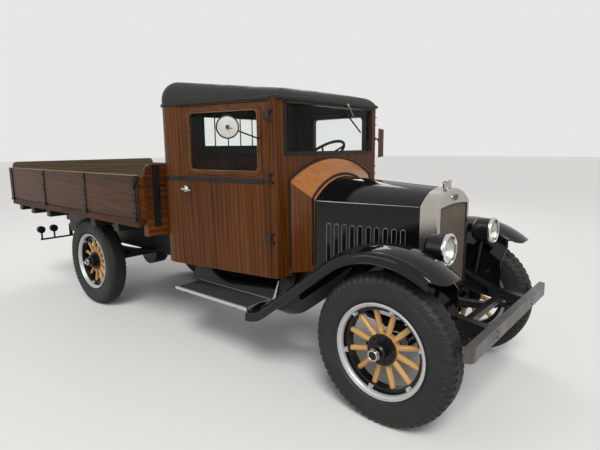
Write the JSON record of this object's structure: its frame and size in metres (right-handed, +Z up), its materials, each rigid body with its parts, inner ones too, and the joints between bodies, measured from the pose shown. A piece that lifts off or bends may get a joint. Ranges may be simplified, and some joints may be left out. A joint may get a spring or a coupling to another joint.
{
  "type": "vintage flat-bed lorry",
  "caption": "Light flat-bed lorry with a varnished wooden cab, black hood and fenders, wood-spoked wheels and a low boarded bed with drop sides.",
  "frame": {"origin": "middle of the lorry's length and width, on the ground under the tyres", "axes": "+X forward, +Y to the lorry's left, +Z up"},
  "size_m": [5.19, 1.888, 2.0504],
  "materials": {
    "tyre": "matt black rubber",
    "rim_silver": "satin silver-grey paint",
    "spoke_wood": "varnished light wood",
    "chassis_black": "satin black paint",
    "engine_iron": "dark cast iron",
    "cab_wood": "reddish-brown varnished wood",
    "clear_glass": "clear glass",
    "nickel": "bright nickel plate",
    "mirror_brown": "brown painted back",
    "roof_cloth": "black grained leather-cloth",
    "seat_leather": "brown pleated leather",
    "gloss_black": "gloss black paint",
    "core_brass": "tarnished core",
    "bumper_steel": "grey-brown painted steel",
    "bed_wood": "weathered varnished boards",
    "lamp_black": "satin black paint",
    "wheel_black": "black hard rubber"
  },
  "bodies": {
    "chassis": {"frame_rails": "chassis_black", "springs": "chassis_black", "front_axle": "chassis_black", "rear_axle": "chassis_black", "bed_frame": "chassis_black", "bed_sills": "chassis_black", "bed_hinges": "chassis_black", "headboard_straps": "chassis_black", "engine_block": "engine_iron", "cab_back": "cab_wood", "cab_front": "cab_wood", "cab_floor": "cab_wood", "cowl": "cab_wood", "cab_glass": "clear_glass", "headlamp_lenses": "clear_glass", "radiator_shell": "nickel", "post_mirror": "mirror_brown", "roof": "roof_cloth", "seat": "seat_leather", "door_hinges": "gloss_black", "hood_sides": "gloss_black", "headlamps": "gloss_black", "front_fenders": "gloss_black", "running_boards": "gloss_black", "radiator_core": "core_brass", "bumper": "bumper_steel", "bed_floor": "bed_wood", "headboard": "bed_wood", "rear_lamps": "lamp_black", "controls": "wheel_black"},
    "wheel_front_right": {"tyre_front_right": "tyre", "rim_front_right": "rim_silver", "spokes_front_right": "spoke_wood"},
    "wheel_front_left": {"tyre_front_left": "tyre", "rim_front_left": "rim_silver", "spokes_front_left": "spoke_wood"},
    "wheel_rear_right": {"tyre_rear_right": "tyre", "rim_rear_right": "rim_silver", "spokes_rear_right": "spoke_wood"},
    "wheel_rear_left": {"tyre_rear_left": "tyre", "rim_rear_left": "rim_silver", "spokes_rear_left": "spoke_wood"},
    "knuckle_right": {"knuckle_right": "chassis_black"},
    "knuckle_left": {"knuckle_left": "chassis_black"},
    "tie_rod": {"tie_rod": "chassis_black"},
    "steering_wheel": {"steering_wheel": "wheel_black"},
    "door_right": {"door_right": "cab_wood", "door_glass_right": "clear_glass", "door_fittings_right": "nickel"},
    "door_left": {"door_left": "cab_wood", "door_glass_left": "clear_glass", "door_fittings_left": "nickel"},
    "hood_top_right": {"hood_top_right": "gloss_black"},
    "hood_top_left": {"hood_top_left": "gloss_black"},
    "side_board_right": {"side_board_right": "bed_wood", "side_straps_right": "chassis_black"},
    "side_board_left": {"side_board_left": "bed_wood", "side_straps_left": "chassis_black"},
    "tail_board": {"tail_board": "bed_wood", "tail_straps": "chassis_black"}
  },
  "joints": [
    {"name": "knuckle_left_turn", "type": "hinge", "parent": "chassis", "child": "knuckle_left", "pos_m": [2.092, 0.538, 0.435], "axis": [0, 0, 1], "range_deg": [-25, 25]},
    {"name": "knuckle_right_turn", "type": "hinge", "parent": "chassis", "child": "knuckle_right", "pos_m": [2.092, -0.538, 0.435], "axis": [0, 0, 1], "range_deg": [-25, 25]},
    {"name": "tie_rod_turn", "type": "hinge", "parent": "knuckle_left", "child": "tie_rod", "pos_m": [1.922, 0.538, 0.37], "axis": [0, 0, 1], "range_deg": [-25, 25]},
    {"name": "steering_wheel_turn", "type": "hinge", "parent": "chassis", "child": "steering_wheel", "pos_m": [0.897, 0.33, 1.462], "axis": [-0.5997, 0, 0.8002], "range_deg": [-300, 300]},
    {"name": "wheel_front_right_spin", "type": "hinge", "parent": "knuckle_right", "child": "wheel_front_right", "pos_m": [2.092, -0.65, 0.435], "axis": [0, 1, 0], "continuous": true},
    {"name": "wheel_front_left_spin", "type": "hinge", "parent": "knuckle_left", "child": "wheel_front_left", "pos_m": [2.092, 0.65, 0.435], "axis": [0, 1, 0], "continuous": true},
    {"name": "wheel_rear_right_spin", "type": "hinge", "parent": "chassis", "child": "wheel_rear_right", "pos_m": [-1.208, -0.65, 0.435], "axis": [0, 1, 0], "continuous": true},
    {"name": "wheel_rear_left_spin", "type": "hinge", "parent": "chassis", "child": "wheel_rear_left", "pos_m": [-1.208, 0.65, 0.435], "axis": [0, 1, 0], "continuous": true},
    {"name": "door_right_hinge", "type": "hinge", "parent": "chassis", "child": "door_right", "pos_m": [1.208, -0.6351, 1.25], "axis": [0, 0, 1], "range_deg": [0, 70]},
    {"name": "door_left_hinge", "type": "hinge", "parent": "chassis", "child": "door_left", "pos_m": [1.208, 0.6351, 1.25], "axis": [0, 0, -1], "range_deg": [0, 70]},
    {"name": "hood_top_right_hinge", "type": "hinge", "parent": "chassis", "child": "hood_top_right", "pos_m": [1.7215, -0.008, 1.3065], "axis": [-0.9981, 0, 0.062], "range_deg": [0, 60]},
    {"name": "hood_top_left_hinge", "type": "hinge", "parent": "chassis", "child": "hood_top_left", "pos_m": [1.7215, 0.008, 1.3065], "axis": [0.9981, 0, -0.062], "range_deg": [0, 60]},
    {"name": "side_board_right_hinge", "type": "hinge", "parent": "chassis", "child": "side_board_right", "pos_m": [-1.245, -0.937, 0.994], "axis": [1, 0, 0], "range_deg": [0, 175]},
    {"name": "side_board_left_hinge", "type": "hinge", "parent": "chassis", "child": "side_board_left", "pos_m": [-1.245, 0.937, 0.994], "axis": [-1, 0, 0], "range_deg": [0, 175]},
    {"name": "tail_board_hinge", "type": "hinge", "parent": "chassis", "child": "tail_board", "pos_m": [-2.585, 0, 0.994], "axis": [0, -1, 0], "range_deg": [0, 175]}
  ],
  "couplings": [
    {"joint": "knuckle_right_turn", "follows": "knuckle_left_turn", "ratio": 1},
    {"joint": "tie_rod_turn", "follows": "knuckle_left_turn", "ratio": -1},
    {"joint": "steering_wheel_turn", "follows": "knuckle_left_turn", "ratio": 12}
  ]
}
